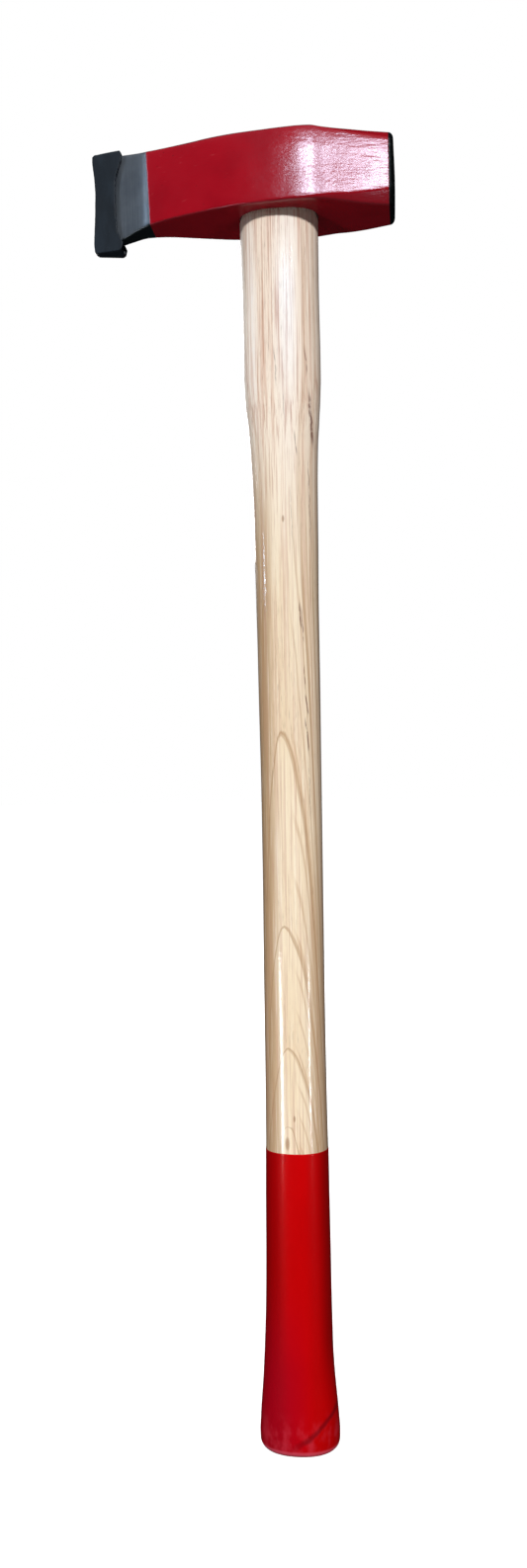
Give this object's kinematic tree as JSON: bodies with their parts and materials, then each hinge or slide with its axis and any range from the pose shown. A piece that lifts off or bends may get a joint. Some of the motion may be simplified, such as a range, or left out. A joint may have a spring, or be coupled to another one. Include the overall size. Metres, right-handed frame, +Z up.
{
  "type": "splitting maul",
  "caption": "Long-handled splitting maul: wedge head with hammer poll on a hickory handle with a dipped grip, and a push-on guard over the cutting edge.",
  "frame": {"origin": "centre of the flat face at the foot of the grip, on the handle's axis", "axes": "+Z up the handle towards the head, -X towards the cutting edge, +X towards the poll, -Y and +Y out of the cheeks"},
  "size_m": [0.2114, 0.0628, 0.9029],
  "materials": {
    "red_enamel": "glossy red enamel with orange peel, ground bare steel at the bit and the poll",
    "hickory": "clear lacquer over pale straight-grained hickory",
    "red_dip": "glossy dipped paint",
    "wedge_wood": "raw end grain",
    "bare_steel": "raw rolled steel",
    "black_rubber": "satin moulded rubber"
  },
  "bodies": {
    "maul": {"maul_head": "red_enamel", "hickory_handle": "hickory", "grip_dip_coat": "red_dip", "wooden_wedge": "wedge_wood", "steel_wedge_1": "bare_steel", "steel_wedge_2": "bare_steel"},
    "guard": {"edge_guard": "black_rubber"}
  },
  "joints": [
    {"name": "guard_slide", "type": "slide", "parent": "maul", "child": "guard", "axis": [-1, 0, 0], "range_m": [0, 0.06]}
  ]
}
